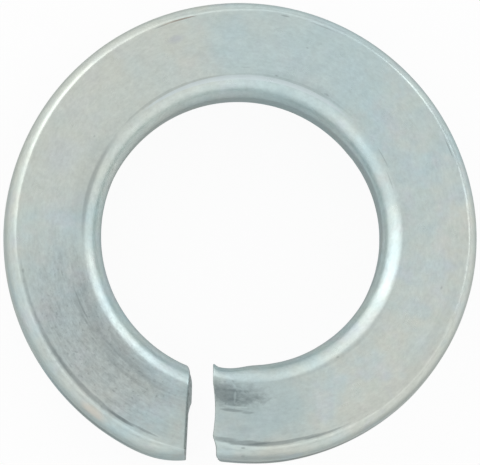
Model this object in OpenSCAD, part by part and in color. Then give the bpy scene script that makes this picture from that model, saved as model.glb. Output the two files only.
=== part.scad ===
// Spring lock washer: one open turn of round-nosed wire with a gap and two sheared ends.
// The origin is on the axis of the hole at the level of the lowest point.
// +Z runs along the bolt towards its head, and the gap faces -Y.
// Angles of turn start at the gap and run clockwise as seen from above. Sizes are in millimetres.

/* [Wire section] */
// Diameter of the hole for the bolt
bore_d = 12.9; // [12.8:0.02:13.1]
// Width of the section, from the hole to the rim
section_w = 4.48; // [4.34:0.02:4.7]
// Thickness of the section
section_t = 3.2; // [3:0.05:3.5]
// Radial reach of the full round nose beside the hole
nose_w = 0.98; // [0.8:0.02:1.3]
// Wire past the hole's wall that the winding mandrel has pressed flat
mandrel_bite = 0.06; // [0.04:0.01:0.12]
// How far the raised half has sprung outwards off the mandrel's axis
spring_open = 0.03; // [0.02:0.005:0.06]
// Radial reach of the rounded corners at the rim
rim_w = 0.49; // [0.3:0.01:0.8]
// Height of the rounded corners at the rim
rim_h = 1.2; // [0.8:0.05:1.4]

/* [Coil] */
// Rise that is spread evenly over the turn
even_rise = 2.05; // [1.6:0.05:2.4]
// Further rise where the raised end is bent up
bend_rise = 1.73; // [1:0.05:2]
// Angle of turn where the bend begins
bend_from = 238; // [200:1:260]
// Angle of turn where the bend is complete
bend_to = 360; // [330:1:368]

/* [Sheared ends] */
// Distance of the low end's top edge to the left of the axis
low_cut_x = 2.44; // [2.3:0.02:2.6]
// Distance of the raised end's top edge to the left of the axis
high_cut_x = 1.56; // [1.4:0.02:1.7]
// Lean of the low face from upright
low_lean = 4.5; // [3:0.5:9]
// Lean of the raised face from upright at the nose
nose_lean = 4.5; // [3:0.5:8]
// Lean of the raised face from upright at the rim
rim_lean = 12.5; // [8:0.5:14]
// Extra distance of the low end's edge for each millimetre nearer the rim
low_skew = 0.05; // [0:0.01:0.08]
// Depth of the worn arris around the low face
low_arris = 0.14; // [0.06:0.01:0.2]
// Depth of the worn arris around the raised face
high_arris = 0.04; // [0.02:0.01:0.1]
// How far the inner third of the low face stands out where the wire tore
tear_step = 0.12; // [0.05:0.01:0.18]
// How far the raised face is hollowed between nose and rim
high_hollow = 0.1; // [0.04:0.01:0.14]
// How far the rim is drawn in at the low end
rim_draw = 0.46; // [0.1:0.02:0.5]
// How far the rim is drawn in at the raised end
high_rim_draw = 0.06; // [0:0.01:0.1]
// How far the nose is drawn back at the raised end
nose_draw = 0.26; // [0.1:0.02:0.3]
// Height of the burr that the shear left on the nose of the raised end
nose_burr = 0.1; // [0:0.01:0.12]
// Extra reach of the rim corner at the raised end
rim_spread = 0.32; // [0.1:0.02:0.4]
// Length of turn over which an end changes shape
end_span = 17; // [12:1:22]

/* [Hidden] */
// Steps around the nose, around one rim corner and across one flat face
nose_steps = 16;
corner_steps = 6;
flat_steps = 5;
// Even steps along the turn, and closer ones at each end in degrees
turn_steps = 104;
end_steps = [0, 0.22, 0.55, 1.1, 2.2];
bore_r = bore_d / 2;
mid_x = section_w / 2;
mid_z = section_t / 2;
mid_r = bore_r + mid_x;
low_run = tan(low_lean);
nose_run = tan(nose_lean);
rim_run = tan(rim_lean);
burr_span = 2.4;
worn_x = section_w * 0.7;
total_rise = even_rise + bend_rise;
clear = 1;
// Middle of the half that is sprung outwards
sprung_turn = (bend_from + 375) / 2;
steel = [0.68, 0.72, 0.72];

// Turns of the two ends along the middle of the wire
low_turn = asin(low_cut_x / mid_r);
high_turn = 360 + asin(high_cut_x / mid_r);
tight = len(end_steps);
span_even = high_turn - low_turn - 2 * end_steps[tight - 1];
station_turns = concat(
    [for (i = [0:tight - 1]) low_turn + end_steps[i]],
    [for (i = [1:turn_steps - 1]) low_turn + end_steps[tight - 1] + span_even * i / turn_steps],
    [for (i = [0:tight - 1]) high_turn - end_steps[tight - 1 - i]]
);
stations = len(station_turns);

// Eased step from 0 to 1 as s runs from 0 to 1
function clamp01(s) = min(1, max(0, s));
function ease(s) = pow(clamp01(s), 2) * (3 - 2 * clamp01(s));

// Height of the wire's underside at a turn, level up to the low end's top edge
function rise_at(turn) =
    even_rise * max(0, turn - low_turn) / (high_turn - low_turn)
    + bend_rise * ease((turn - bend_from) / (bend_to - bend_from));

// Shape of the wire near the ends
function near_low(turn) = pow(1 - clamp01((turn - low_turn) / end_span), 3);
function near_high(turn) = ease((turn - high_turn + end_span) / end_span);
function rim_at(turn) = section_w - rim_draw * near_low(turn) - high_rim_draw * near_high(turn);
function burr_at(turn) = nose_burr * ease((turn - high_turn + burr_span) / burr_span);
function nose_at(turn) = nose_draw * near_high(turn) - mandrel_bite - burr_at(turn);
function corner_at(turn) = rim_w + rim_spread * near_high(turn) - rim_draw * near_low(turn) * 0.4;

// Points of the section as distance past the hole's wall and height, starting at the nose's top
function section_points(turn) =
    let (
        rim = rim_at(turn),
        tip = nose_at(turn),
        corner = corner_at(turn),
        nose_x = nose_w + near_high(turn) * nose_draw * 0.4,
        flat = rim - corner - nose_x
    )
    concat(
        [for (i = [0:nose_steps]) let (t = 90 + 180 * i / nose_steps)
            [nose_x + (nose_x - tip) * cos(t), mid_z + mid_z * sin(t)]],
        [for (i = [1:flat_steps - 1]) [nose_x + flat * i / flat_steps, 0]],
        [for (i = [0:corner_steps]) let (t = 270 + 90 * i / corner_steps)
            [rim - corner + corner * cos(t), rim_h + rim_h * sin(t)]],
        [for (i = [0:corner_steps]) let (t = 90 * i / corner_steps)
            [rim - corner + corner * cos(t), section_t - rim_h + rim_h * sin(t)]],
        [for (i = [1:flat_steps - 1]) [nose_x + flat * (1 - i / flat_steps), section_t]]
    );

// Sideways place of the two cuts at a distance past the hole's wall and a height
function tear_at(x) = tear_step * (1 - ease((x - mid_x * 0.56) / (mid_x * 0.14)));
function high_run(x) = nose_run + (rim_run - nose_run) * ease(x / section_w);
function hollow_at(x) = high_hollow * sin(180 * clamp01((x - mid_x * 0.5) / (mid_x * 1.08)));
function low_cut(x, h) =
    low_cut_x + low_skew * (x - mid_x) - (section_t - h) * (low_run + tear_at(x) / section_t);
function high_cut(x, h) = high_cut_x - (section_t - h) * high_run(x) - hollow_at(x);
function low_turn_at(x, h) = asin(low_cut(x, h) / (bore_r + x));
function high_turn_at(x, h) = 360 + asin(high_cut(x, h) / (bore_r + x));

// Depth of the worn arris at a distance in degrees from an end
function arris_at(d, depth) = depth * pow(1 - clamp01(d / end_steps[tight - 2]), 2);
function worn(p, depth) =
    [worn_x + (p[0] - worn_x) * (1 - depth / mid_x), mid_z + (p[1] - mid_z) * (1 - depth / mid_z)];

// One point of the wire's skin in space
function skin_point(p, along) =
    let (
        first = low_turn_at(p[0], p[1]),
        last = high_turn_at(p[0], p[1]),
        turn = first + (last - first) * along,
        r = bore_r + p[0]
    )
    [-r * sin(turn), -r * cos(turn), p[1] + rise_at(turn)];

function ring_points(i) =
    let (
        turn = station_turns[i],
        depth = arris_at(turn - low_turn, low_arris) + arris_at(high_turn - turn, high_arris)
    )
    [for (p = section_points(turn)) skin_point(worn(p, depth), (turn - low_turn) / (high_turn - low_turn))];

// Skin of the coil: rings of points joined in a band, with a fan over each end
module coil() {
    rings = [for (i = [0:stations - 1]) ring_points(i)];
    around = len(rings[0]);
    last = stations - 1;
    caps = [skin_point([mid_x, mid_z], 0), skin_point([mid_x, mid_z], 1)];
    points = concat([for (ring = rings, p = ring) p], caps);
    band = [for (i = [0:last - 1], j = [0:around - 1], half = [0, 1])
        let (
            a = i * around + j,
            b = i * around + (j + 1) % around,
            c = a + around,
            d = b + around
        )
        half == 0 ? [a, b, c] : [b, d, c]];
    low_fan = [for (j = [0:around - 1]) [stations * around, (j + 1) % around, j]];
    high_fan = [for (j = [0:around - 1])
        [stations * around + 1, last * around + j, last * around + (j + 1) % around]];
    polyhedron(points = points, faces = concat(band, low_fan, high_fan), convexity = 6);
}

// Room for the mandrel: a round bar with its axis moved by out towards a turn
module mandrel(out, turn) {
    translate([-out * sin(turn), -out * cos(turn), -clear])
    cylinder(d = bore_d, h = section_t + total_rise + 2 * clear, $fn = 96);
}

// The coil with the true round wall that the mandrel leaves in the hole
module washer() {
    color(steel)
    difference() {
        coil();
        mandrel(0, 0);
        mandrel(spring_open, sprung_turn);
    }
}

washer();
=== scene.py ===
"""A spring lock washer in bright zinc plate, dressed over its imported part.

The coil is laid out again from the part's own sizes, in finer steps, with the small forms
that rolling, coiling and shearing leave on such wire. Lengths are in millimetres until they
become mesh points, and the studio's are in metres. Turn is the angle in degrees from the gap,
clockwise seen from above. Reach is the distance past the hole's edge.
"""
import math

import bpy
import numpy as np
from mathutils import Matrix, Vector, noise


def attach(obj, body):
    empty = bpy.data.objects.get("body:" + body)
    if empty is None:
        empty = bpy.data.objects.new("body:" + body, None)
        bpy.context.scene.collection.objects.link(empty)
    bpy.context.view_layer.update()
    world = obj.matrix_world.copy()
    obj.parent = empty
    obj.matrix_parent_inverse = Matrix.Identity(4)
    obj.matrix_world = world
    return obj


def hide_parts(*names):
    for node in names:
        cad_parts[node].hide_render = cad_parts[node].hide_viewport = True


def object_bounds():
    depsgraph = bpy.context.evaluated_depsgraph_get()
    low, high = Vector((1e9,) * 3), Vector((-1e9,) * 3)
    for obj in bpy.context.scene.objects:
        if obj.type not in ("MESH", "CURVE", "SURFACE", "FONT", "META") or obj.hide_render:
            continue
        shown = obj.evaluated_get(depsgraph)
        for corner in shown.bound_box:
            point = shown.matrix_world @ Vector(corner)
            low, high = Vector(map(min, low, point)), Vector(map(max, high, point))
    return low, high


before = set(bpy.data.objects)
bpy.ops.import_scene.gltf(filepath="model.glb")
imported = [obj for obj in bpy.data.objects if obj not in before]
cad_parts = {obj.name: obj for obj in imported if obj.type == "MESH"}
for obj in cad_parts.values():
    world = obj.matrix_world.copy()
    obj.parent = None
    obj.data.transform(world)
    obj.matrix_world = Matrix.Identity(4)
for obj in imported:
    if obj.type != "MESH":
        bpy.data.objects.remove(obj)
cad_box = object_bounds()

MM = 0.001

# Sizes of the part
BORE_D = 12.9
SECTION_W = 4.48
SECTION_T = 3.2
NOSE_W = 0.98
MANDREL_BITE = 0.06
SPRING_OPEN = 0.03
RIM_W = 0.49
RIM_H = 1.2
EVEN_RISE = 2.05
BEND_RISE = 1.73
BEND_FROM = 238.0
BEND_TO = 360.0
SPRUNG_TO = 375.0
LOW_CUT_X = 2.44
HIGH_CUT_X = 1.56
LOW_LEAN = 4.5
NOSE_LEAN = 4.5
RIM_LEAN = 12.5
LOW_SKEW = 0.05
TEAR_STEP = 0.12
HIGH_HOLLOW = 0.1
RIM_DRAW = 0.46
HIGH_RIM_DRAW = 0.06
NOSE_DRAW = 0.26
NOSE_BURR = 0.1
RIM_SPREAD = 0.32
END_SPAN = 17.0
BURR_SPAN = 2.4

BORE_R = BORE_D / 2
MID_X = SECTION_W / 2
MID_Z = SECTION_T / 2
MID_R = BORE_R + MID_X
WORN_X = SECTION_W * 0.7
TEAR_FROM = MID_X * 0.56
TEAR_RUN = MID_X * 0.14
HOLLOW_FROM = MID_X * 0.5
HOLLOW_RUN = MID_X * 1.08
SPRUNG_TURN = (BEND_FROM + SPRUNG_TO) / 2
LOW_TURN = math.degrees(math.asin(LOW_CUT_X / MID_R))
HIGH_TURN = 360 + math.degrees(math.asin(HIGH_CUT_X / MID_R))
MM_PER_DEGREE = math.radians(MID_R)

# Steps of the fine skin, the rows beside each sheared face that are dull like it, and the
# angle in degrees from which an edge is sharp
TURN_STEP = 1.15
NOSE_STEPS = 24
FLAT_STEPS = 44
CORNER_STEPS = 14
SIDE_STEPS = 3
CAP_RINGS = 18
NEAR_TURNS = (0, 0.1, 0.22, 0.36, 0.55, 0.8, 1.1, 1.5, 2.2)
DULL_ROWS_LOW = 3
DULL_ROWS_HIGH = 2
SHARP_ANGLE = 38

# Small forms that the part leaves to this skin. A stretch is the turns where a form starts and
# ends, and the length of its soft ends
RIM_GROOVE = 0.016
RIM_GROOVE_W = 0.13
RIM_GROOVE_TIGHT = 1.3
LOW_GROOVE_STRETCH = (18, 92, 16)
HIGH_GROOVE_STRETCH = (318, 380, 22)
NOSE_GROOVE = 0.007
NOSE_GROOVE_W = 0.06
NOSE_GROOVE_STRETCH = (84, 226, 12)
EDGE_DROP = 0.014
EDGE_DROP_W = 0.05
EDGE_DROP_LEVEL = 0.75
EDGE_DROP_STRETCH = (92, 318, 14)
DEPTH_WANDER = 0.5
WANDER = 0.018
EARLY_SPREAD = 0.35
LAST_SPREAD = 5.0
NOSE_CREASE = 1.22
NOSE_ROOT = 0.35
NOSE_END_ROOT = 0.22
NOSE_END_FROM = 344
NOSE_END_RUN = 18
RIM_CREASE = 1.4
RIM_ROOT = 0.42
RIM_WIDER = 0.035
RIM_CRISPER = 0.06
RIM_CRISP_STRETCH = (178, 338, 14)
LOW_RIM_SHARP = 0.9
LOW_ARRIS = 0.05
HIGH_ARRIS = 0.035
ARRIS_SPAN = 0.6
NOSE_HOLLOW = 0.1
NOSE_HOLLOW_TURN = 361.0
NOSE_HOLLOW_W = 8.0
RIM_END_HOLLOW = 0.1
RIM_END = 0.85
RIM_END_H = 0.4
BORE_DRIFT = 0.05
BORE_DRIFT_TURN = 250.0
BORE_DRIFT_WAVES = 3
BORE_DRIFT_STRETCH = (225, 340, 15)
LOW_NICK = 0.15
LOW_NICK_W = 0.5
NOSE_SHRINK = 0.1
WAVE_DEPTH = 0.008
WAVE_SIZE = 1.7
RIPPLE_DEPTH = WAVE_DEPTH * 0.4
RIPPLE_SIZE = 0.5
WAVES_FADE = 4
SEED_STEPS = (7.3, 3.1, 5.7)

# The sheared faces: where the blade's smooth land ends, as a share of the height, and the
# torn part's grain as sizes, seeds and shares
LAND_END = 0.42
LAND_WANDER = 0.2
LAND_SOFT = 0.12
TEAR_DEPTH = 0.03
TEAR_LEVEL = 0.3
TEAR_GRAINS = ((0.32, 3, 0.6), (0.13, 4, 0.4))
COMB_DEPTH = 0.25
COMB_SIZE = 0.09
CAP_EDGE_RUN = 1 / 6


def clamp01(s):
    return np.clip(s, 0.0, 1.0)


def ease(s):
    """A smooth step from 0 to 1."""
    s = clamp01(s)
    return s * s * (3 - 2 * s)


def bell(s):
    """A smooth bump that is 1 at s = 0 and fades on both sides."""
    return np.exp(-s * s)


def window(turn, start, end, soft):
    """One between two turns and none outside them, with soft ends."""
    return ease((turn - start) / soft) * ease((end - turn) / soft)


def rise_at(turn):
    """Height of the wire's underside."""
    even = EVEN_RISE * np.maximum(0, turn - LOW_TURN) / (HIGH_TURN - LOW_TURN)
    return even + BEND_RISE * ease((turn - BEND_FROM) / (BEND_TO - BEND_FROM))


def near_low(turn):
    """One at the low end, fading to none over the end's span."""
    return (1 - clamp01((turn - LOW_TURN) / END_SPAN)) ** 3


def near_high(turn):
    """One at the raised end, fading to none over the end's span."""
    return ease((turn - HIGH_TURN + END_SPAN) / END_SPAN)


def rim_at(turn):
    """Reach of the rim's side, which is drawn in at both ends."""
    return SECTION_W - RIM_DRAW * near_low(turn) - HIGH_RIM_DRAW * near_high(turn)


def nose_at(turn):
    """Reach of the nose's tip before the mandrel presses its wall into it."""
    burr = NOSE_BURR * ease((turn - HIGH_TURN + BURR_SPAN) / BURR_SPAN)
    hollow = NOSE_HOLLOW * bell((turn - NOSE_HOLLOW_TURN) / NOSE_HOLLOW_W)
    return NOSE_DRAW * near_high(turn) + hollow - MANDREL_BITE - burr


def corner_at(turn):
    """Width of the rim's rounding."""
    last = ease((turn - HIGH_TURN + LAST_SPREAD) / LAST_SPREAD)
    share = near_high(turn) * EARLY_SPREAD + last * (1 - EARLY_SPREAD)
    wider = RIM_WIDER - RIM_CRISPER * window(turn, *RIM_CRISP_STRETCH)
    return RIM_W + wider + RIM_SPREAD * share - RIM_DRAW * near_low(turn) * LOW_RIM_SHARP


def wall_at(turn):
    """Radius of the wall that the mandrel pressed, which has sprung outwards on the raised half."""
    sprung = BORE_R + SPRING_OPEN * np.cos(np.radians(turn - SPRUNG_TURN))
    drift = BORE_DRIFT * np.cos(np.radians(BORE_DRIFT_WAVES * (turn - BORE_DRIFT_TURN)))
    return np.maximum(BORE_R, sprung + drift * window(turn, *BORE_DRIFT_STRETCH))


def wander_at(turn, step, seed):
    """Slow drift along the wire, from -1 to 1. Step is its length in degrees."""
    flat = np.asarray(turn).reshape(-1)
    drift = [noise.noise(Vector((t / step, seed, 0.5))) for t in flat]
    return np.array(drift).reshape(np.shape(turn))


def rim_groove_at(turn):
    """Depth of the shallow groove inside the rim, which the flattening left near both ends."""
    share = np.maximum(window(turn, *LOW_GROOVE_STRETCH), window(turn, *HIGH_GROOVE_STRETCH))
    return RIM_GROOVE * share * (1 + DEPTH_WANDER * wander_at(turn, step=7.0, seed=3.1))


def edge_drop_at(turn):
    """How far the rim's rounding starts below the flat face on the rest of the turn."""
    level = EDGE_DROP_LEVEL + DEPTH_WANDER * wander_at(turn, step=11.0, seed=8.2)
    return EDGE_DROP * window(turn, *EDGE_DROP_STRETCH) * level


def nose_groove_at(turn):
    """Depth of the fine line along the nose, opposite the gap."""
    level = 1 + DEPTH_WANDER * wander_at(turn, step=5.0, seed=5.4)
    return NOSE_GROOVE * window(turn, *NOSE_GROOVE_STRETCH) * level


def spread(steps):
    """Shares from 0 to 1 that lie closer together at both ends."""
    s = np.arange(1, steps) / steps
    return 0.5 * s + 0.5 * ease(s)


def rounding(s, crease, root):
    """Height of a rounding at share s of its run: an ellipse where crease is 2 and root is 0.5.

    With less crease it leaves the flat face with a crease, as rolled wire does. With less root
    it falls gently at first and then steeply.
    """
    return (1 - s ** crease) ** root


def half_section(turn):
    """Upper half of the section at each turn, from the nose's tip over the flat to the rim's side.

    Gives two tables, reach and height above mid thickness.
    """
    turn = turn[:, None]
    nose_x = NOSE_W - NOSE_SHRINK * near_high(turn) + WANDER * wander_at(turn, step=13.0, seed=1.3)
    tip = nose_at(turn)
    rim = rim_at(turn)
    corner = corner_at(turn) + WANDER * wander_at(turn, step=10.0, seed=2.6)
    drop = edge_drop_at(turn)
    end = rim - corner
    fuller = ease((turn - NOSE_END_FROM) / NOSE_END_RUN)
    nose_root = NOSE_ROOT + (NOSE_END_ROOT - NOSE_ROOT) * fuller

    t = np.radians(90 * np.arange(NOSE_STEPS) / NOSE_STEPS)
    xs = [nose_x - (nose_x - tip) * np.cos(t)]
    hs = [MID_Z * rounding(np.cos(t), NOSE_CREASE, nose_root)]
    s = np.concatenate([[0], spread(FLAT_STEPS)])
    x = nose_x + (end - nose_x) * s
    dip = nose_groove_at(turn) * bell((x - nose_x - NOSE_GROOVE_W) / NOSE_GROOVE_W)
    groove = bell((end - RIM_GROOVE_W - x) / RIM_GROOVE_W * RIM_GROOVE_TIGHT)
    dip = dip + rim_groove_at(turn) * groove
    dip = dip + drop * ease((x - end + EDGE_DROP_W) / EDGE_DROP_W)
    xs.append(x)
    hs.append(MID_Z - dip)
    t = np.radians(90 - 90 * np.arange(CORNER_STEPS + 1) / CORNER_STEPS)
    xs.append(end + corner * np.cos(t))
    hs.append(MID_Z - RIM_H + (RIM_H - drop) * rounding(np.cos(t), RIM_CREASE, RIM_ROOT))
    s = np.arange(1, SIDE_STEPS + 1) / SIDE_STEPS
    xs.append(rim + 0 * s)
    hs.append((MID_Z - RIM_H) * (1 - s) + 0 * turn)
    return np.concatenate(xs, 1), np.concatenate(hs, 1)


def whole_section(turn):
    """The section all round, in reach and height above the underside: upper half, then lower."""
    x, h = half_section(turn)
    x = np.concatenate([x, x[:, -2:0:-1]], 1)
    h = np.concatenate([MID_Z + h, MID_Z - h[:, -2:0:-1]], 1)
    return x, h


def low_cut(x, h):
    """How far left of the middle the low end's sheared face lies."""
    tear = TEAR_STEP * (1 - ease((x - TEAR_FROM) / TEAR_RUN))
    down = (SECTION_T - h) * (math.tan(math.radians(LOW_LEAN)) + tear / SECTION_T)
    nick = LOW_NICK * clamp01(1 - x / LOW_NICK_W) ** 2
    return LOW_CUT_X + LOW_SKEW * (x - MID_X) + nick - down


def high_cut(x, h):
    """How far left of the middle the raised end's sheared face lies."""
    nose_run, rim_run = (math.tan(math.radians(a)) for a in (NOSE_LEAN, RIM_LEAN))
    run = nose_run + (rim_run - nose_run) * ease(x / SECTION_W)
    hollow = HIGH_HOLLOW * np.sin(np.pi * clamp01((x - HOLLOW_FROM) / HOLLOW_RUN))
    corner = clamp01((x - SECTION_W + RIM_END) / RIM_END) * ease((h - MID_Z) / RIM_END_H)
    hollow = hollow + RIM_END_HOLLOW * np.sin(np.pi * corner)
    return HIGH_CUT_X - (SECTION_T - h) * run - hollow


def in_space(x, h, along):
    """Points of the wire in the part's frame, from section place and share of the turn."""
    r = BORE_R + x
    first = np.degrees(np.arcsin(low_cut(x, h) / r))
    last = 360 + np.degrees(np.arcsin(high_cut(x, h) / r))
    turn = first + (last - first) * along
    r = np.maximum(r, wall_at(turn))
    a = np.radians(turn)
    return np.stack([-r * np.sin(a), -r * np.cos(a), h + rise_at(turn)], -1)


def wave(points, size, seed):
    """Smooth noise from 0 to 1 at each point."""
    shift = Vector([seed * step for step in SEED_STEPS])
    flat = points.reshape(-1, 3) / size
    values = [0.5 + 0.5 * noise.noise(Vector(p) + shift) for p in flat]
    return clamp01(np.array(values)).reshape(points.shape[:-1])


def grid_faces(rows, cols):
    """Four-sided faces over a table of points whose columns close on themselves."""
    i, j = np.meshgrid(np.arange(rows - 1), np.arange(cols), indexing="ij")
    a, b = i * cols + j, i * cols + (j + 1) % cols
    return np.stack([a, a + cols, b + cols, b], -1).reshape(-1, 4)


def ring_normals(points):
    """Outward directions over a table of rings."""
    along = np.gradient(points, axis=0)
    around = np.roll(points, -1, 1) - np.roll(points, 1, 1)
    n = np.cross(along, around)
    return n / np.maximum(np.linalg.norm(n, axis=-1, keepdims=True), 1e-12)


def skin_table():
    """Rings of the wire's skin from the low end to the raised end."""
    near = np.array(NEAR_TURNS)
    steps = int((HIGH_TURN - LOW_TURN - 2 * near[-1]) / TURN_STEP)
    even = np.linspace(LOW_TURN + near[-1], HIGH_TURN - near[-1], steps + 1)[1:-1]
    turn = np.concatenate([LOW_TURN + near, even, HIGH_TURN - near[::-1]])
    x, h = whole_section(turn)
    t = turn[:, None]
    depth = LOW_ARRIS * (1 - clamp01((t - LOW_TURN) / ARRIS_SPAN)) ** 2
    depth = depth + HIGH_ARRIS * (1 - clamp01((HIGH_TURN - t) / ARRIS_SPAN)) ** 2
    x = WORN_X + (x - WORN_X) * (1 - depth / MID_X)
    h = MID_Z + (h - MID_Z) * (1 - depth / MID_Z)
    points = in_space(x, h, (t - LOW_TURN) / (HIGH_TURN - LOW_TURN))
    dents = WAVE_DEPTH * wave(points, WAVE_SIZE, seed=1)
    dents = dents + RIPPLE_DEPTH * wave(points, RIPPLE_SIZE, seed=2)
    inside = ease((t - LOW_TURN) / WAVES_FADE) * ease((HIGH_TURN - t) / WAVES_FADE)
    return points - ring_normals(points) * (dents * inside)[..., None]


def cap_table(edge, along, out):
    """Rings over one sheared face, from its edge in towards the middle.

    The upper part of the face is the smooth land that the blade left, and the lower part is
    where the wire tore, which is rough. out is the way the face looks along X.
    """
    middle = in_space(np.array([MID_X]), np.array([MID_Z]), along)[0]
    share = (np.arange(1, CAP_RINGS + 1) / (CAP_RINGS + 1))[:, None, None]
    rings = edge[None] * (1 - share) + middle * share
    height = (rings[..., 2] - edge[:, 2].min()) / SECTION_T
    across = rings * [0, 1, 0]
    land_end = LAND_END + LAND_WANDER * wave(across, size=0.9, seed=5)
    torn = 1 - ease((height - land_end) / LAND_SOFT)
    rough = sum(part * wave(rings, size, seed) for size, seed, part in TEAR_GRAINS)
    comb = wave(across, COMB_SIZE, seed=6)
    sink = TEAR_DEPTH * (torn * (TEAR_LEVEL + rough) + (1 - torn) * COMB_DEPTH * comb)
    rings[..., 0] -= out * sink * ease(share[..., 0] / CAP_EDGE_RUN)
    return rings, middle


def wire_mesh(name):
    """The whole skin as one closed mesh: the coil first, then the two sheared faces."""
    skin = skin_table()
    rows, cols = skin.shape[:2]
    points = [skin.reshape(-1, 3)]
    faces = grid_faces(rows, cols).tolist()
    count = rows * cols
    for edge_row, along, out in ((0, 0.0, 1), (rows - 1, 1.0, -1)):
        rings, middle = cap_table(skin[edge_row], along, out)
        table = np.concatenate([np.arange(cols) + edge_row * cols,
                                np.arange(CAP_RINGS * cols) + count])
        quads = table[grid_faces(CAP_RINGS + 1, cols)]
        last = table[-cols:]
        fan = np.stack([last, np.full(cols, count + CAP_RINGS * cols), np.roll(last, -1)], -1)
        if edge_row == 0:
            quads, fan = quads[:, ::-1], fan[:, ::-1]
        faces += quads.tolist() + fan.tolist()
        points += [rings.reshape(-1, 3), middle[None]]
        count += CAP_RINGS * cols + 1
    mesh = bpy.data.meshes.new(name)
    mesh.from_pydata(np.clip(np.concatenate(points) * MM, *cad_box).tolist(), [], faces)
    mesh.validate()
    row = np.arange(len(mesh.polygons)) // cols
    sheared = (row < DULL_ROWS_LOW) | (row >= rows - 1 - DULL_ROWS_HIGH)
    mesh.polygons.foreach_set("material_index", sheared.astype(np.int32))
    mesh.polygons.foreach_set("use_smooth", np.ones(len(mesh.polygons), bool))
    mesh.set_sharp_from_angle(angle=math.radians(SHARP_ANGLE))
    return mesh


class Nodes:
    """A node tree that is written as plain calls."""

    def __init__(self, tree):
        self.tree = tree

    def add(self, kind, values=None, **settings):
        """A new node. A value is linked in where it is a socket, and set where it is plain."""
        node = self.tree.nodes.new(kind)
        for key, value in settings.items():
            setattr(node, key, value)
        for key, value in (values or {}).items():
            if isinstance(value, bpy.types.NodeSocket):
                self.tree.links.new(value, node.inputs[key])
            else:
                node.inputs[key].default_value = value
        return node

    def math(self, operation, a, b=0.0, c=0.0, clamp=False):
        node = self.add("ShaderNodeMath", {0: a, 1: b, 2: c}, operation=operation)
        node.use_clamp = clamp
        return node.outputs[0]

    def rest(self, value):
        """What a value leaves of one."""
        return self.math("SUBTRACT", 1.0, value)

    def fade(self, value, share, strength):
        """The value with a part taken off where the share is high."""
        return self.math("MULTIPLY", value, self.math("MULTIPLY_ADD", share, -strength, 1.0))

    def grow(self, share, level, extra):
        """A plain level, and extra where the share is high."""
        return self.math("MULTIPLY_ADD", share, extra, level)

    def remap(self, value, low, high, to_low=0.0, to_high=1.0, smooth=True):
        node = self.add("ShaderNodeMapRange", {"Value": value, "From Min": low, "From Max": high,
                                               "To Min": to_low, "To Max": to_high})
        node.interpolation_type = "SMOOTHSTEP" if smooth else "LINEAR"
        return node.outputs["Result"]

    def noise(self, vector, scale=1.0, detail=3.0, rough=0.5):
        node = self.add("ShaderNodeTexNoise", {"Vector": vector, "Scale": scale, "Detail": detail,
                                               "Roughness": rough})
        return node.outputs["Fac"]

    def mix(self, factor, a, b, blend="MIX"):
        node = self.add("ShaderNodeMix", {0: factor, 6: a, 7: b}, data_type="RGBA",
                        blend_type=blend)
        return node.outputs[2]

    def vector(self, x, y, z):
        return self.add("ShaderNodeCombineXYZ", {0: x, 1: y, 2: z}).outputs[0]


def new_group(name, inputs, outputs):
    """A shader node group with named sockets; gives the group, its helper, and both end nodes."""
    group = bpy.data.node_groups.new(name, "ShaderNodeTree")
    for label, value in inputs:
        kind = "NodeSocketVector" if isinstance(value, tuple) else "NodeSocketFloat"
        socket = group.interface.new_socket(label, in_out="INPUT", socket_type=kind)
        socket.default_value = value
    for label, kind in outputs:
        group.interface.new_socket(label, in_out="OUTPUT", socket_type=kind)
    build = Nodes(group)
    return group, build, build.add("NodeGroupInput"), build.add("NodeGroupOutput")


def use_group(build, group, values=None):
    """A node that runs a shader group on these values."""
    return build.add("ShaderNodeGroup", values, node_tree=group)


def empty_nodes(owner):
    """The helper for a material's or the world's node tree, once that is emptied."""
    owner.use_nodes = True
    owner.node_tree.nodes.clear()
    return Nodes(owner.node_tree)


def new_material(name):
    """A material, and the helper for its empty node tree."""
    material = bpy.data.materials.new(name)
    return material, empty_nodes(material)


# The raised end's turn runs on past 360 degrees: right of GAP_X in the first GAP_TURN degrees
GAP_X = -1.75
GAP_TURN = 40


def place_group():
    """Where a point lies on the ring: its turn, its reach, and its height above the underside."""
    group, build, _, out = new_group("place_on_ring", [], [
        ("Turn", "NodeSocketFloat"), ("Reach", "NodeSocketFloat"), ("Height", "NodeSocketFloat"),
        ("Place", "NodeSocketVector")])
    metres = build.add("ShaderNodeTexCoord").outputs["Object"]
    place = build.add("ShaderNodeVectorMath", {0: metres, 3: 1 / MM}, operation="SCALE").outputs[0]
    axes = build.add("ShaderNodeSeparateXYZ", {0: place})
    x, y = axes.outputs[0], axes.outputs[1]
    angle = build.math("ARCTAN2", build.math("MULTIPLY", x, -1), build.math("MULTIPLY", y, -1))
    turn = build.math("MODULO", build.math("ADD", build.math("DEGREES", angle), 360), 360)
    past_gap = build.math("MULTIPLY", build.math("GREATER_THAN", x, GAP_X),
                          build.math("LESS_THAN", turn, GAP_TURN))
    turn = build.math("ADD", turn, build.math("MULTIPLY", past_gap, 360))
    across = build.math("SQRT", build.math("ADD", build.math("MULTIPLY", x, x),
                                           build.math("MULTIPLY", y, y)))
    reach = build.math("SUBTRACT", across, BORE_R)
    even = build.remap(turn, LOW_TURN, HIGH_TURN, 0.0, EVEN_RISE, smooth=False)
    rise = build.math("ADD", even, build.remap(turn, BEND_FROM, BEND_TO, 0.0, BEND_RISE))
    height = build.math("SUBTRACT", axes.outputs[2], rise)
    for label, value in (("Turn", turn), ("Reach", reach), ("Height", height), ("Place", place)):
        group.links.new(value, out.inputs[label])
    return group


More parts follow.
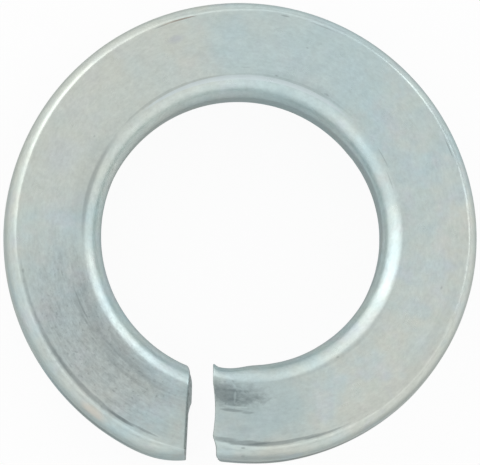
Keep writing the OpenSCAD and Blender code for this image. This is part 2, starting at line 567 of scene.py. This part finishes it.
def spot_group():
    """A soft-edged mark at one place on the ring, made ragged by noise that runs along the wire.

    Full is the share of its half size within which the mark has its full strength.
    """
    group, build, given, out = new_group("mark_on_ring", [
        ("Turn", 0.0), ("Reach", 0.0), ("Place", (0.0, 0.0, 0.0)), ("At Turn", 0.0),
        ("At Reach", 0.0), ("Half Turn", 5.0), ("Half Reach", 0.5), ("Ragged", 0.4),
        ("Grain", 3.0), ("Stretch", 1.0), ("Full", 0.3)], [("Mask", "NodeSocketFloat")])
    port = given.outputs
    across = build.math("DIVIDE", build.math("SUBTRACT", port["Turn"], port["At Turn"]),
                        port["Half Turn"])
    outward = build.math("DIVIDE", build.math("SUBTRACT", port["Reach"], port["At Reach"]),
                         port["Half Reach"])
    far = build.math("SQRT", build.math("ADD", build.math("MULTIPLY", across, across),
                                        build.math("MULTIPLY", outward, outward)))
    wire = along_wire(build, port["Turn"], port["Reach"], port["Place"], port["Grain"],
                      port["Stretch"])
    rag = build.math("SUBTRACT", build.noise(wire, rough=0.6), 0.5)
    far = build.math("MULTIPLY_ADD", rag, port["Ragged"], far)
    mask = build.remap(far, 1.0, port["Full"])
    group.links.new(mask, out.inputs["Mask"])
    return group


def along_wire(build, turn, reach, place, grain, stretch):
    """Noise coordinates that run along the wire; stretch makes the noise longer that way."""
    height = build.add("ShaderNodeSeparateXYZ", {0: place}).outputs[2]
    length = build.math("DIVIDE", build.math("MULTIPLY", turn, MM_PER_DEGREE), stretch)
    return build.vector(build.math("MULTIPLY", length, grain), build.math("MULTIPLY", reach, grain),
                        build.math("MULTIPLY", height, grain))


# The tint between teal and beige: its level, its change round the ring and outwards, and how
# far slow noise bends it
TINT_LEVEL = 0.36
TINT_ROUND = -0.5
TINT_OUTWARD = 0.09
TINT_WARP = 1.9
TEAL = (0.555, 0.695, 0.710, 1)
BEIGE = (0.672, 0.712, 0.652, 1)
# Faint clouds over it: the noise's values between which a cloud comes in, and each cloud's
# scale, seed, colour and greatest share
CLOUD_SPAN = (0.5, 0.72)
CLOUDS = (
    (0.55, 11.0, (0.56, 0.69, 0.73, 1), 0.45),
    (0.7, 37.0, (0.63, 0.66, 0.73, 1), 0.3),
    (0.9, 53.0, (0.70, 0.68, 0.66, 1), 0.25),
    (0.8, 71.0, (0.60, 0.70, 0.64, 1), 0.3),
)


def tint_group():
    """Blue-bright passivation: teal that drifts to beige twice round the ring, with faint clouds."""
    group, build, given, out = new_group("passivation_tint", [
        ("Place", (0.0, 0.0, 0.0)), ("Reach", 0.0), ("Clouds", 1.0)],
        [("Color", "NodeSocketColor")])
    place, reach, clouds = (given.outputs[k] for k in ("Place", "Reach", "Clouds"))
    axes = build.add("ShaderNodeSeparateXYZ", {0: place})
    diagonal = build.math("MULTIPLY", axes.outputs[0], axes.outputs[1])
    drift = build.math("MULTIPLY_ADD", diagonal, TINT_ROUND / MID_R ** 2, TINT_LEVEL)
    drift = build.math("MULTIPLY_ADD", reach, TINT_OUTWARD, drift)
    warp = build.math("SUBTRACT", build.noise(place, scale=0.45, rough=0.55), 0.5)
    drift = build.math("MULTIPLY_ADD", warp, TINT_WARP, drift, clamp=True)
    color = build.mix(drift, TEAL, BEIGE)
    for scale, seed, tint, most in CLOUDS:
        shifted = build.add("ShaderNodeVectorMath", {0: place, 1: (seed, seed * 0.7, seed * 1.3)},
                            operation="ADD").outputs[0]
        cloud = build.noise(shifted, scale, detail=2.5, rough=0.6)
        share = build.remap(cloud, *CLOUD_SPAN, to_high=most)
        color = build.mix(build.math("MULTIPLY", share, clouds), color, tint)
    group.links.new(color, out.inputs["Color"])
    return group


def scuff_group():
    """Marks that run along the wire from drawing and handling, between two levels of noise."""
    group, build, given, out = new_group("marks_along_wire", [
        ("Turn", 0.0), ("Reach", 0.0), ("Place", (0.0, 0.0, 0.0)), ("Grain", 6.0),
        ("Stretch", 6.0), ("Low", 0.35), ("High", 0.75)], [("Mask", "NodeSocketFloat")])
    port = given.outputs
    wire = along_wire(build, port["Turn"], port["Reach"], port["Place"], port["Grain"],
                      port["Stretch"])
    mask = build.remap(build.noise(wire, detail=5.0, rough=0.65), port["Low"], port["High"])
    group.links.new(mask, out.inputs["Mask"])
    return group


# Colours of the plating's edges, grime and painted shade, stains, a painted sheen and torn steel
EDGE_TINT = (0.60, 0.63, 0.63, 1)
SCUFFED_TINT = (0.62, 0.66, 0.655, 1)
SLATE_BLUE = (0.60, 0.66, 0.72, 1)
GRIME_AND_SHADE = (0.13, 0.155, 0.165, 1)
RUST = (0.40, 0.32, 0.26, 1)
RUST_DUST = (0.20, 0.17, 0.14, 1)
STAIN = (0.72, 0.65, 0.56, 1)
BLUE_STAIN = (0.47, 0.50, 0.58, 1)
PAINTED_SHEEN = (0.68, 0.77, 0.80, 1)
TORN_GREY = (0.17, 0.18, 0.18, 1)

# How far up a face looks, from none to full, to count as top, as steep or as upper
TOP_FACING = (-0.1, 0.3)
STEEP_FACING = (0.74, 0.1)
UPPER_FACING = (0.1, 0.4)

# How much painted shade darkens the steep sides in the bore and round the rim, and the reaches
# that count as such
BORE_WALL_SHADE = 0.33
RIM_SIDE_SHADE = 0.09
BORE_REACH = 0.5
SIDE_REACH = 3.9

# The noise's usual span
NOISE_SPAN = (0.3, 0.7)

# Finish of the plating. A pair is a plain level and how much it grows where the plate is
# scuffed, but SATIN_ROUGH is a range of roughness
FINE_MOTTLE = (0.33, 0.24)
BROAD_MOTTLE = (0.20, 0.10)
STREAKED = (0.03, 0.14)
SPECKLED = (0.06, 0.30)
SCUFFED_SHADE = -0.16
SCUFFED_COVER = 0.35
SATIN_ROUGH = (0.27, 0.35)
GRIME_AND_SHADE_ROUGH = 0.30
SCUFFED_ROUGH = 0.05
GRAIN_RELIEF = 0.5
DRAWN_RELIEF = 0.9

# Finish of the sheared faces: the blade's combing, its shade and the patches', the least share
# of grey, and the range of roughness
COMB_GRAIN = 9.0
COMB_RUN = 0.7
COMB_SHADE = 0.3
PATCH_SPAN = (0.35, 0.7)
PATCH_SHADE = 0.45
TORN_LEVEL = 0.4
TORN_ROUGH = (0.5, 0.7)

# Marks and painted shade on the top face: turn, reach past the hole, half length in degrees,
# half width, raggedness, grain, stretch along the wire, share at full strength, darkness
MARKS = (
    # Scuffs past the low end
    (50.0, 1.55, 34.0, 0.75, 1.6, 4.0, 5.0, 0.2, 0.20),
    (38.0, 1.55, 12.0, 0.10, 1.2, 5.0, 5.0, 0.3, 0.17),
    (51.0, 1.58, 8.0, 0.08, 1.2, 5.0, 5.0, 0.3, 0.13),
    (64.5, 1.73, 8.5, 0.06, 1.0, 5.0, 5.0, 0.3, 0.24),
    (38.0, 2.02, 12.0, 0.09, 1.4, 5.0, 5.0, 0.3, 0.15),
    (43.0, 1.22, 20.0, 0.12, 1.5, 5.0, 5.0, 0.3, 0.08),
    (70.0, 1.35, 14.0, 0.30, 1.5, 4.0, 4.0, 0.2, 0.07),
    (59.5, 1.86, 1.6, 0.07, 0.8, 4.0, 2.0, 0.3, 0.26),
    (54.0, 2.02, 0.8, 0.07, 0.6, 4.0, 1.0, 0.3, 0.22),
    (61.5, 2.42, 1.6, 0.05, 0.8, 4.0, 2.0, 0.3, 0.22),
    (66.0, 2.92, 0.7, 0.06, 0.6, 4.0, 1.0, 0.3, 0.24),
    (30.2, 1.50, 0.8, 0.12, 0.6, 4.0, 1.0, 0.3, 0.18),
    (36.0, 3.45, 8.0, 0.05, 1.0, 4.0, 4.0, 0.3, 0.12),
    # Painted shade in the shallow groove along the rim past the low end
    (26.0, 3.77, 5.2, 0.060, 0.4, 2.0, 3.0, 0.5, 0.34),
    (32.5, 3.83, 5.6, 0.100, 0.7, 3.0, 3.0, 0.5, 0.48),
    (44.0, 3.84, 21.0, 0.145, 0.9, 3.0, 3.0, 0.5, 0.38),
    (60.0, 3.86, 16.0, 0.12, 1.2, 3.0, 3.0, 0.4, 0.28),
    (74.0, 3.88, 11.0, 0.10, 1.4, 2.5, 2.0, 0.2, 0.26),
    (79.7, 3.86, 0.8, 0.10, 0.6, 3.0, 1.0, 0.3, 0.26),
    # Scuffed patch and lines at the raised end, and the flat face darker all round it
    (364.5, 1.66, 11.0, 0.50, 1.7, 5.0, 2.5, 0.4, 0.26),
    (359.5, 1.78, 8.5, 0.28, 2.0, 6.0, 2.5, 0.3, 0.30),
    (367.0, 1.52, 5.5, 0.66, 1.5, 5.0, 1.6, 0.45, 0.32),
    (362.5, 1.36, 7.0, 0.08, 0.9, 3.0, 4.0, 0.3, 0.26),
    (371.2, 1.32, 3.4, 0.52, 0.6, 2.0, 1.0, 0.3, 0.36),
    (357.0, 2.1, 24.0, 2.6, 0.5, 0.8, 2.0, 0.4, 0.13),
    (364.8, 2.29, 5.2, 0.10, 0.9, 2.5, 4.0, 0.5, 0.44),
    (359.5, 2.37, 2.6, 0.09, 1.2, 3.0, 3.0, 0.4, 0.30),
    (362.0, 3.15, 5.0, 0.22, 1.6, 3.0, 3.0, 0.2, 0.08),
    # Painted shade in the shallow groove along the rim before the raised end, and two specks beside
    # it
    (339.0, 3.91, 9.0, 0.065, 0.8, 3.0, 3.0, 0.4, 0.40),
    (350.0, 3.85, 12.5, 0.120, 0.8, 3.0, 3.0, 0.5, 0.46),
    (360.0, 3.78, 7.5, 0.150, 1.0, 3.5, 2.0, 0.5, 0.46),
    (366.0, 3.69, 4.6, 0.150, 0.8, 3.0, 2.0, 0.5, 0.40),
    (369.2, 3.61, 0.9, 0.12, 0.3, 2.0, 1.0, 0.4, 0.40),
    (360.8, 4.00, 0.8, 0.06, 0.4, 2.0, 1.0, 0.3, 0.36),
    (360.6, 4.32, 0.7, 0.05, 0.4, 2.0, 1.0, 0.3, 0.24),
    # Shade on the rim's rounding
    (357.0, 4.50, 19.0, 0.38, 0.5, 1.5, 3.0, 0.2, 0.36),
    (245.0, 4.07, 17.0, 0.16, 0.3, 1.0, 3.0, 0.3, 0.16),
    (160.0, 4.06, 34.0, 0.16, 0.3, 1.0, 3.0, 0.3, 0.12),
    (205.0, 4.08, 24.0, 0.15, 0.3, 1.0, 3.0, 0.3, 0.15),
    (262.0, 4.06, 40.0, 0.09, 1.8, 6.0, 1.2, 0.2, 0.22),
    (318.0, 4.52, 38.0, 0.26, 0.4, 1.0, 3.0, 0.2, 0.28),
    # Specks and short lines on the rest of the ring
    (164.5, 3.93, 4.2, 0.045, 0.4, 1.6, 3.0, 0.5, 0.52),
    (158.5, 3.91, 2.6, 0.045, 0.8, 2.0, 3.0, 0.3, 0.30),
    (191.0, 3.92, 1.5, 0.045, 0.5, 2.0, 2.0, 0.4, 0.38),
    (201.0, 3.93, 4.5, 0.035, 0.9, 2.0, 4.0, 0.3, 0.24),
    (247.0, 3.94, 3.4, 0.040, 0.7, 2.0, 3.0, 0.4, 0.34),
    (241.0, 0.98, 6.0, 0.040, 0.3, 1.0, 3.0, 0.3, 0.26),
    (250.0, 0.83, 5.5, 0.040, 0.3, 1.0, 3.0, 0.3, 0.20),
    (192.0, 1.08, 1.0, 0.05, 0.6, 3.0, 1.5, 0.3, 0.30),
    (211.0, 1.12, 1.4, 0.06, 0.6, 3.0, 1.0, 0.3, 0.26),
    (181.0, 1.30, 1.8, 0.05, 0.8, 3.0, 3.0, 0.3, 0.18),
    (123.0, 1.74, 0.6, 0.06, 0.5, 3.0, 1.0, 0.3, 0.24),
    (199.0, 2.74, 0.5, 0.05, 0.5, 3.0, 1.0, 0.3, 0.24),
    (286.0, 3.08, 0.7, 0.07, 0.5, 3.0, 1.0, 0.3, 0.24),
    (325.0, 0.98, 0.8, 0.07, 0.5, 3.0, 1.0, 0.3, 0.26),
    # Painted shade in the fine line where the nose meets the flat face and beside it, and over the
    # flat face past turn 230
    (106.0, 0.91, 27.0, 0.17, 0.3, 1.0, 4.0, 0.3, 0.36),
    (108.0, 1.25, 36.0, 0.60, 0.5, 1.0, 2.0, 0.2, 0.11),
    (154.0, 0.98, 30.0, 0.09, 0.3, 1.0, 4.0, 0.4, 0.22),
    (203.0, 1.01, 27.0, 0.09, 0.3, 1.0, 4.0, 0.4, 0.20),
    (203.0, 1.16, 27.0, 0.20, 0.3, 1.0, 4.0, 0.3, 0.09),
    (320.0, 0.99, 32.0, 0.17, 0.3, 1.0, 4.0, 0.4, 0.13),
    (294.0, 1.25, 62.0, 0.70, 0.5, 1.0, 2.0, 0.2, 0.07),
    (300.0, 3.70, 44.0, 0.50, 0.5, 1.0, 2.0, 0.2, 0.07),
    # Shade on the nose opposite the gap
    (180.0, 0.12, 64.0, 0.36, 0.3, 1.0, 3.0, 0.3, 0.13),
)
# A line of painted shade along the middle of the outer side near the gap, and the heights
# between which it comes in and fades out
SIDE_SHADE_LINE = (
    (346.0, 4.50, 46.0, 0.60, 0.4, 1.2, 4.0, 0.05, 0.66),
    (38.0, 4.45, 26.0, 0.60, 0.4, 1.2, 4.0, 0.05, 0.58),
)
SIDE_SHADE_COMES = (0.9, 1.35)
SIDE_SHADE_FADES = (1.95, 1.5)
# The scuffed stretch past the low end and the scuffed patch at the raised end
SCUFFED = (52.0, 2.3, 44.0, 2.5, 0.7, 1.0, 2.0, 0.35)
SCUFFED_HIGH = (363.5, 1.62, 12.0, 0.85, 0.9, 2.0, 2.0, 0.4)
# Broad areas of tint: a mark's values with the tint's share in place of its darkness, and the
# tint
TINTED = (
    ((134.0, 2.3, 44.0, 4.0, 0.5, 0.5, 1.0, 0.6, 0.55), BEIGE),
    ((197.0, 2.3, 33.0, 4.0, 0.5, 0.5, 1.0, 0.6, 0.55), TEAL),
    ((113.0, 2.7, 8.0, 1.1, 0.8, 0.8, 1.0, 0.2, 0.30), SLATE_BLUE),
    ((354.0, 1.9, 20.0, 2.6, 0.8, 0.6, 1.0, 0.4, 0.65), TEAL),
    ((303.0, 3.3, 9.0, 0.9, 0.8, 0.7, 1.0, 0.2, 0.40), TEAL),
)
# Stains, rust, and a painted sheen along the nose opposite the gap, in the same way
STAINS_AND_SHEEN = (
    ((182.0, 0.85, 46.0, 0.12, 0.2, 1.0, 3.0, 0.75, 0.60), PAINTED_SHEEN),
    ((39.5, 4.34, 5.2, 0.34, 0.6, 2.0, 1.0, 0.3, 0.60), STAIN),
    ((40.0, 4.50, 9.0, 0.09, 0.6, 2.0, 1.0, 0.3, 0.75), RUST_DUST),
    ((163.6, 3.93, 5.4, 0.060, 0.9, 3.0, 3.0, 0.4, 0.60), RUST),
    ((161.0, 3.12, 3.4, 0.26, 0.6, 2.0, 1.0, 0.2, 0.40), BLUE_STAIN),
)
# Places in the scuffed patch where the dark marks have worn off again
FADED = (
    (363.8, 1.66, 0.55, 0.36, 0.8, 4.0, 1.0, 0.4, 0.40),
    (363.2, 2.12, 5.4, 0.06, 0.3, 2.0, 3.0, 0.5, 0.9),
    (361.2, 1.74, 1.5, 0.10, 1.2, 4.0, 2.0, 0.3, 0.35),
)


def mark_values(mark):
    """A row of these tables as the mark group's inputs, without its last number, the strength."""
    keys = ("At Turn", "At Reach", "Half Turn", "Half Reach", "Ragged", "Grain", "Stretch", "Full")
    return dict(zip(keys, mark))


def plated_steel():
    """Satin zinc plate: cloudy tint, marks along the wire, handling marks, painted shade in the bore
    and round the rim, and a painted sheen on the nose.
    """
    material, build = new_material("plated_steel")
    place = use_group(build, GROUPS["place"])
    turn, reach, spot = (place.outputs[k] for k in ("Turn", "Reach", "Place"))
    here = {"Turn": turn, "Reach": reach, "Place": spot}
    facing = build.add("ShaderNodeSeparateXYZ", {
        0: build.add("ShaderNodeNewGeometry").outputs["Normal"]}).outputs[2]
    top = build.remap(facing, *TOP_FACING)
    steep = build.remap(build.math("ABSOLUTE", facing), *STEEP_FACING)
    color = use_group(build, GROUPS["tint"], {
        "Place": spot, "Reach": reach, "Clouds": 1.0}).outputs[0]

    def along(grain, stretch, low, high):
        return use_group(build, GROUPS["scuff"], {
            **here, "Grain": grain, "Stretch": stretch, "Low": low, "High": high}).outputs[0]

    def mark(values):
        return use_group(build, GROUPS["spot"], {**here, **mark_values(values)}).outputs[0]

    for values, tint in TINTED:
        color = build.mix(build.math("MULTIPLY", mark(values), values[-1]), color, tint)

    # Fine mottling all over, stronger where the plate is scuffed
    low_scuffed = mark(SCUFFED)
    color = build.mix(build.math("MULTIPLY", low_scuffed, SCUFFED_COVER), color, SCUFFED_TINT)
    scuffed = build.math("MULTIPLY", build.math("MAXIMUM", low_scuffed, mark(SCUFFED_HIGH)), top)
    wire = along_wire(build, turn, reach, spot, grain=6.5, stretch=1.5)
    fine = build.math("SUBTRACT", build.noise(wire, detail=4.0, rough=0.65), 0.5)
    broad = build.math("SUBTRACT", build.noise(spot, scale=1.6, detail=4.0, rough=0.6), 0.5)
    shade = build.math("MULTIPLY_ADD", fine, build.grow(scuffed, *FINE_MOTTLE), 1.0)
    shade = build.math("MULTIPLY_ADD", broad, build.grow(scuffed, *BROAD_MOTTLE), shade)
    shade = build.math("MULTIPLY_ADD", scuffed, SCUFFED_SHADE, shade)
    color = build.mix(1.0, color, build.vector(shade, shade, shade), "MULTIPLY")

    # Dark streaks, specks, marks and painted shade on the top face, less the places where they wore
    # off
    streaks = build.math("MULTIPLY", along(grain=8.5, stretch=10.0, low=0.42, high=0.70),
                         build.grow(scuffed, *STREAKED))
    specks = build.math("MULTIPLY", along(grain=7.5, stretch=1.2, low=0.56, high=0.72),
                        build.grow(scuffed, *SPECKLED))
    clean = build.math("MULTIPLY", build.rest(streaks), build.rest(specks))
    for values in MARKS:
        clean = build.fade(clean, build.math("MULTIPLY", mark(values), top), values[-1])
    dark = build.rest(clean)
    for values in FADED:
        dark = build.fade(dark, mark(values), values[-1])

    # Painted shade on the steep walls, most in the bore and less round the rim, and a line of
    # painted shade along the outer side near the gap
    dull = build.remap(reach, BORE_REACH, SIDE_REACH, BORE_WALL_SHADE, RIM_SIDE_SHADE)
    kept = build.rest(build.math("MULTIPLY", steep, dull))
    above = place.outputs["Height"]
    band = build.math("MULTIPLY", build.remap(above, *SIDE_SHADE_COMES),
                      build.remap(above, *SIDE_SHADE_FADES))
    for values in SIDE_SHADE_LINE:
        kept = build.fade(kept, build.math("MULTIPLY", mark(values), band), values[-1])
    dark = build.rest(build.math("MULTIPLY", build.rest(dark), kept))
    # Dark marks, grime and painted shade all take this one dark colour
    color = build.mix(dark, color, GRIME_AND_SHADE)
    upper = build.remap(facing, *UPPER_FACING)
    for values, tint in STAINS_AND_SHEEN:
        share = build.math("MULTIPLY", build.math("MULTIPLY", mark(values), values[-1]), upper)
        color = build.mix(share, color, tint)

    rough = build.remap(build.noise(spot, scale=1.3), *NOISE_SPAN, *SATIN_ROUGH)
    rough = build.math("MULTIPLY_ADD", dark, GRIME_AND_SHADE_ROUGH, rough)
    rough = build.math("MULTIPLY_ADD", scuffed, SCUFFED_ROUGH, rough, clamp=True)

    drawn = build.math("MULTIPLY", along(grain=5.0, stretch=8.0, low=0.3, high=0.8), DRAWN_RELIEF)
    grain = build.noise(spot, scale=16.0, rough=0.6)
    height = build.math("MULTIPLY_ADD", grain, GRAIN_RELIEF, drawn)
    bump = build.add("ShaderNodeBump", {"Strength": 0.16, "Distance": 0.01 * MM, "Height": height})
    shader = build.add("ShaderNodeBsdfPrincipled", {
        "Base Color": color, "Roughness": rough, "Metallic": 1.0, "Specular Tint": EDGE_TINT,
        "Normal": bump.outputs[0]})
    build.add("ShaderNodeOutputMaterial", {"Surface": shader.outputs[0]})
    return material


def sheared_steel():
    """The cut ends: plated as well, but dull and grey, with the blade's fine combing."""
    material, build = new_material("sheared_steel")
    place = use_group(build, GROUPS["place"])
    spot = place.outputs["Place"]
    color = use_group(build, GROUPS["tint"], {
        "Place": spot, "Reach": place.outputs["Reach"], "Clouds": 0.7}).outputs[0]
    axes = build.add("ShaderNodeSeparateXYZ", {0: spot})
    upright = build.vector(0.0, build.math("MULTIPLY", axes.outputs[1], COMB_GRAIN),
                           build.math("MULTIPLY", axes.outputs[2], COMB_RUN))
    combing = build.noise(upright, detail=4.0, rough=0.6)
    patches = build.noise(spot, scale=4.5, detail=4.0, rough=0.65)
    shade = build.math("ADD", build.remap(combing, *NOISE_SPAN, to_high=COMB_SHADE),
                       build.remap(patches, *PATCH_SPAN, to_high=PATCH_SHADE), clamp=True)
    grey = build.math("MULTIPLY_ADD", shade, 1 - TORN_LEVEL, TORN_LEVEL, clamp=True)
    color = build.mix(grey, color, TORN_GREY)
    rough = build.remap(patches, *NOISE_SPAN, *TORN_ROUGH)
    height = build.math("ADD", combing, build.noise(spot, scale=14.0, detail=4.0, rough=0.7))
    bump = build.add("ShaderNodeBump", {"Strength": 0.35, "Distance": 0.015 * MM, "Height": height})
    shader = build.add("ShaderNodeBsdfPrincipled", {
        "Base Color": color, "Roughness": rough, "Metallic": 0.5, "Specular IOR Level": 0.3,
        "Normal": bump.outputs[0]})
    build.add("ShaderNodeOutputMaterial", {"Surface": shader.outputs[0]})
    return material


GROUPS = {"place": place_group(), "spot": spot_group(), "tint": tint_group(),
          "scuff": scuff_group()}


def put_in_scene(name, data):
    """A new object of that name in the scene."""
    thing = bpy.data.objects.new(name, data)
    bpy.context.scene.collection.objects.link(thing)
    return thing


def dressed_washer():
    """The plated coil, which stands for the part's one solid."""
    mesh = wire_mesh("plated_coil")
    piece = put_in_scene("plated_coil", mesh)
    mesh.materials.append(plated_steel())
    mesh.materials.append(sheared_steel())
    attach(piece, "root")
    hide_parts("washer")


# Studio: the floor, and the room's light at the horizon and from ROOM_TOP upwards
FLOOR_HALF = 0.4
FLOOR_PALE = (0.9, 0.9, 0.9, 1)
FLOOR_WHITE = 0.93
MIRRORED_WHITE = 0.38
ROOM_LOW = 0.64
ROOM_LIGHT = 0.79
ROOM_TOP = 0.7
BOX_DISTANCE = 0.3
# Soft boxes: azimuth, elevation, width and height in degrees, and brightness
SOFT_BOXES = (
    ("left_key_box", 310, 20, 68, 42, 0.56),
    ("left_core_box", 314, 20, 30, 36, 0.48),
    ("left_front_box", 250, 21, 38, 34, 0.30),
    ("right_box", 57, 24, 34, 27, 1.11),
    ("front_fill_box", 190, 29, 84, 38, 0.26),
    ("right_fill_box", 112, 20, 68, 26, 0.30),
    ("back_fill_box", 14, 27, 54, 36, 0.33),
)
# Camera: a long lens from far off, its lean to the left and over the gap in degrees, the scale
# at TRUE_SCALE_RISE above mid thickness, and the pixel where the hole's axis shows
PHOTO_SIZE = (480, 465)
LENS = 1500.0
SENSOR = 36.0
VIEW_LEAN_X = 4.48
VIEW_LEAN_Y = 8.4
VIEW_ROLL = -0.83
MM_PER_PIXEL = 0.04637
TRUE_SCALE_RISE = 2.1
AXIS_PIXEL = (238.0, 240.48)
CLIP_NEAR = 0.1
CLIP_FAR = 10


def floor_material():
    """Pale matt floor with a soft shadow, which glows near white to the camera and less in metal."""
    material, build = new_material("pale_floor")
    matt = build.add("ShaderNodeBsdfPrincipled", {"Base Color": FLOOR_PALE, "Roughness": 0.9})
    glow = build.add("ShaderNodeEmission", {"Color": (1, 1, 1, 1), "Strength": 1.0})
    path = build.add("ShaderNodeLightPath")
    direct = build.math("MAXIMUM", path.outputs["Is Camera Ray"], path.outputs["Is Transmission Ray"])
    mirrored = build.math("MULTIPLY", path.outputs["Is Glossy Ray"], MIRRORED_WHITE)
    seen = build.math("MAXIMUM", build.math("MULTIPLY", direct, FLOOR_WHITE), mirrored)
    blend = build.add("ShaderNodeMixShader", {0: seen, 1: matt.outputs[0], 2: glow.outputs[0]})
    build.add("ShaderNodeOutputMaterial", {"Surface": blend.outputs[0]})
    return material


def add_floor():
    """A square floor under the washer."""
    mesh = bpy.data.meshes.new("floor")
    far = FLOOR_HALF
    corners = [(-far, -far, 0), (far, -far, 0), (far, far, 0), (-far, far, 0)]
    mesh.from_pydata(corners, [], [(0, 1, 2, 3)])
    mesh.materials.append(floor_material())
    floor = put_in_scene("floor", mesh)


def soft_box(name, azimuth, elevation, width, height, radiance):
    """A rectangular area lamp that faces the washer.

    Angles are in degrees: azimuth from the back towards the right, and the lamp's width and
    height as the washer sees them.
    """
    a, e = math.radians(azimuth), math.radians(elevation)
    way = Vector((math.cos(e) * math.sin(a), math.cos(e) * math.cos(a), math.sin(e)))
    data = bpy.data.lights.new(name, "AREA")
    data.shape = "RECTANGLE"
    data.size = 2 * BOX_DISTANCE * math.tan(math.radians(width / 2))
    data.size_y = 2 * BOX_DISTANCE * math.tan(math.radians(height / 2))
    data.energy = radiance * math.pi * data.size * data.size_y
    lamp = put_in_scene(name, data)
    lamp.location = way * BOX_DISTANCE
    lamp.rotation_mode = "QUATERNION"
    lamp.rotation_quaternion = (-way).to_track_quat("-Z", "Y")
    lamp.visible_camera = False


def light_studio():
    """Plain room light, brighter from above, and the soft boxes."""
    world = bpy.data.worlds.new("studio")
    bpy.context.scene.world = world
    build = empty_nodes(world)
    way = build.add("ShaderNodeTexCoord").outputs["Generated"]
    height = build.add("ShaderNodeSeparateXYZ", {0: way}).outputs[2]
    level = build.remap(height, 0.0, ROOM_TOP, ROOM_LOW, ROOM_LIGHT)
    room = build.add("ShaderNodeBackground", {
        "Color": build.vector(level, level, level), "Strength": 1.0})
    build.add("ShaderNodeOutputWorld", {"Surface": room.outputs[0]})
    for box in SOFT_BOXES:
        soft_box(*box)


def add_camera():
    """The camera at the photograph's angle: from above, leaning over the gap and to the left."""
    data = bpy.data.cameras.new("photo_view")
    camera = put_in_scene("photo_view", data)
    bpy.context.scene.camera = camera
    data.lens = LENS
    data.sensor_width = SENSOR
    wide = MM_PER_PIXEL * PHOTO_SIZE[0] * MM
    distance = wide * LENS / SENSOR
    back = Vector((-math.tan(math.radians(VIEW_LEAN_X)), -math.tan(math.radians(VIEW_LEAN_Y)), 1))
    back.normalize()
    right = (Vector((1, 0, 0)) - back.x * back).normalized()
    above = back.cross(right)
    roll = math.radians(VIEW_ROLL)
    right, above = (right * math.cos(roll) - above * math.sin(roll),
                    right * math.sin(roll) + above * math.cos(roll))
    middle = Vector((0, 0, MID_Z * MM))
    off = ((PHOTO_SIZE[0] / 2 - AXIS_PIXEL[0]) * MM_PER_PIXEL * MM,
           (AXIS_PIXEL[1] - PHOTO_SIZE[1] / 2) * MM_PER_PIXEL * MM)
    target = middle + right * off[0] + above * off[1]
    pose = Matrix((right, above, back)).transposed().to_4x4()
    pose.translation = target + back * (distance + TRUE_SCALE_RISE * MM)
    camera.matrix_world = pose
    data.clip_start = distance * CLIP_NEAR
    data.clip_end = distance * CLIP_FAR


dressed_washer()
add_floor()
light_studio()
add_camera()
bpy.context.scene.view_settings.view_transform = "Standard"
